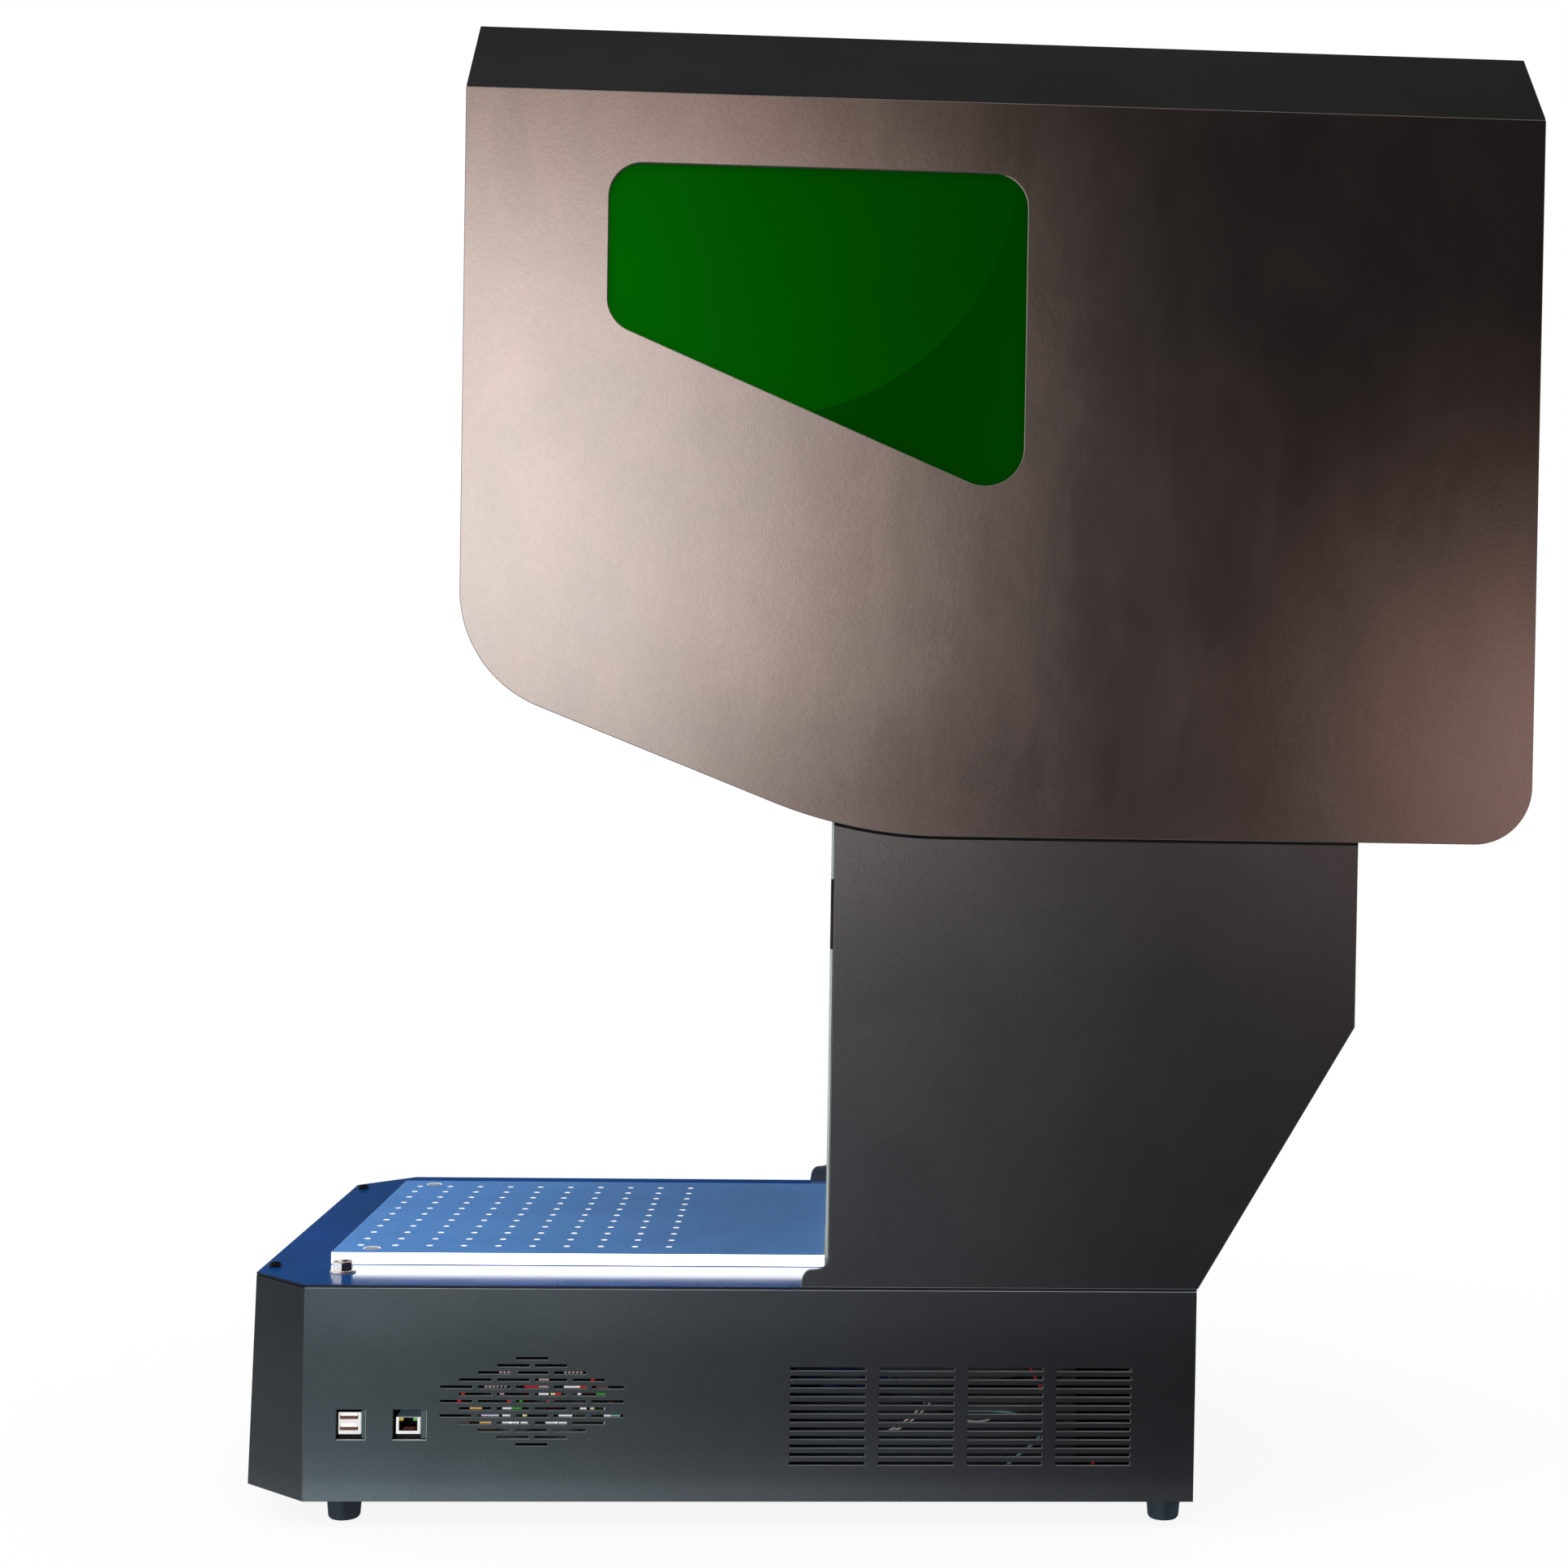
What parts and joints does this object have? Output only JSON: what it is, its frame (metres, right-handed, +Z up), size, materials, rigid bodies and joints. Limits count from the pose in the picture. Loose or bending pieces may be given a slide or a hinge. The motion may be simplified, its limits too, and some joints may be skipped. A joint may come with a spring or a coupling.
{
  "type": "desktop laser cutter",
  "caption": "Benchtop galvo laser cutter: hood and scan head ride up and down a rear column over a drilled work plate on a box base.",
  "frame": {"origin": "centre of the bounding box's bottom face, at the underside of the feet", "axes": "+Z up, the operator stands at -Y, +X is the operator's right"},
  "size_m": [0.364, 0.7443, 0.8485],
  "materials": {
    "hood_paint": "satin dark bronze-grey powder coat",
    "top_paint": "satin near-black paint",
    "column_paint": "fine satin charcoal paint",
    "base_paint": "fine satin slate paint",
    "blue_top": "glossy deep blue lacquer",
    "plate_metal": "fine brushed metal with a cool blue cast",
    "pale_face": "pale grey-green satin paint",
    "green_window": "dense green laser-blocking acrylic, polished",
    "steel": "ground steel",
    "nickel": "nickel plate",
    "black_plastic": "moulded black plastic",
    "black_screw": "black oxide",
    "rubber": "moulded rubber",
    "board": "green solder mask",
    "aluminium": "machined, clear anodised",
    "red_plastic": "gloss red",
    "yellow_plastic": "satin yellow",
    "green_plastic": "gloss green",
    "lens_glass": "coated optical glass",
    "mirror": "coated scan mirror"
  },
  "bodies": {
    "base": {"base_tray": "base_paint", "base_side_right": "base_paint", "base_side_left": "base_paint", "base_front_panel": "base_paint", "base_rear_panel": "base_paint", "base_top_plate": "blue_top", "work_plate": "plate_metal", "plate_screw_right": "nickel", "plate_screw_left": "nickel", "top_screw_right": "black_screw", "top_screw_left": "black_screw", "earth_nut": "nickel", "foot_front_right": "rubber", "foot_front_left": "rubber", "foot_rear_right": "rubber", "foot_rear_left": "rubber", "mainboard": "board", "usb_port": "nickel", "lan_port": "nickel", "power_supply": "aluminium", "fan_frame": "black_plastic", "power_inlet": "black_plastic", "estop_housing": "yellow_plastic", "column_side_right": "column_paint", "column_side_left": "column_paint", "column_front_lower": "pale_face", "column_front_upper": "pale_face", "fume_grille": "black_plastic", "column_rear_panel": "column_paint", "mast_plate": "aluminium", "rail_right": "steel", "rail_left": "steel", "lift_motor": "black_plastic", "screw_bearing_lower": "steel", "screw_bearing_upper": "steel"},
    "head": {"carriage_plate": "aluminium", "ball_nut": "steel", "rail_block_right": "steel", "rail_block_left": "steel", "head_arm": "aluminium", "galvo_housing": "black_plastic", "lens_barrel": "black_plastic", "lens_glass": "lens_glass", "beam_collimator": "aluminium", "laser_source": "aluminium", "hood_side_right": "hood_paint", "hood_side_left": "hood_paint", "hood_top": "top_paint", "hood_front_panel": "hood_paint", "hood_rear_panel": "hood_paint", "window_right": "green_window", "window_left": "green_window"},
    "lift_screw": {"ball_screw": "steel", "shaft_coupling": "aluminium"},
    "exhaust_fan": {"fan_rotor": "black_plastic"},
    "rocker": {"power_rocker": "black_plastic"},
    "estop": {"estop_button": "red_plastic"},
    "start": {"start_button": "green_plastic"},
    "mirror_x": {"galvo_mirror_x": "mirror"},
    "mirror_y": {"galvo_mirror_y": "mirror"}
  },
  "joints": [
    {"name": "head_lift", "type": "slide", "parent": "base", "child": "head", "axis": [0, 0, 1], "range_m": [-0.1, 0.06]},
    {"name": "screw_spin", "type": "hinge", "parent": "base", "child": "lift_screw", "pos_m": [0, 0.099, 0.316], "axis": [0, 0, 1], "range_deg": [-3620, 2180]},
    {"name": "fan_spin", "type": "hinge", "parent": "base", "child": "exhaust_fan", "pos_m": [-0.095, 0.172, 0.076], "axis": [0, 1, 0], "continuous": true},
    {"name": "rocker_tilt", "type": "hinge", "parent": "base", "child": "rocker", "pos_m": [0.1325, 0.187, 0.078], "axis": [1, 0, 0], "range_deg": [0, 16]},
    {"name": "estop_press", "type": "slide", "parent": "base", "child": "estop", "axis": [0, 0.9995, -0.0306], "range_m": [0, 0.004]},
    {"name": "start_press", "type": "slide", "parent": "base", "child": "start", "axis": [0, 0.9995, -0.0306], "range_m": [0, 0.002], "stiffness_N_per_m": 800, "springref_m": -0.001},
    {"name": "mirror_x_tilt", "type": "hinge", "parent": "head", "child": "mirror_x", "pos_m": [0.02, -0.1685, 0.567], "axis": [0, 0, 1], "range_deg": [-12, 12]},
    {"name": "mirror_y_tilt", "type": "hinge", "parent": "head", "child": "mirror_y", "pos_m": [0, -0.1685, 0.567], "axis": [0, 1, 0], "range_deg": [-12, 12]}
  ],
  "couplings": [
    {"joint": "screw_spin", "follows": "head_lift", "rad_per_m": 628.32}
  ]
}
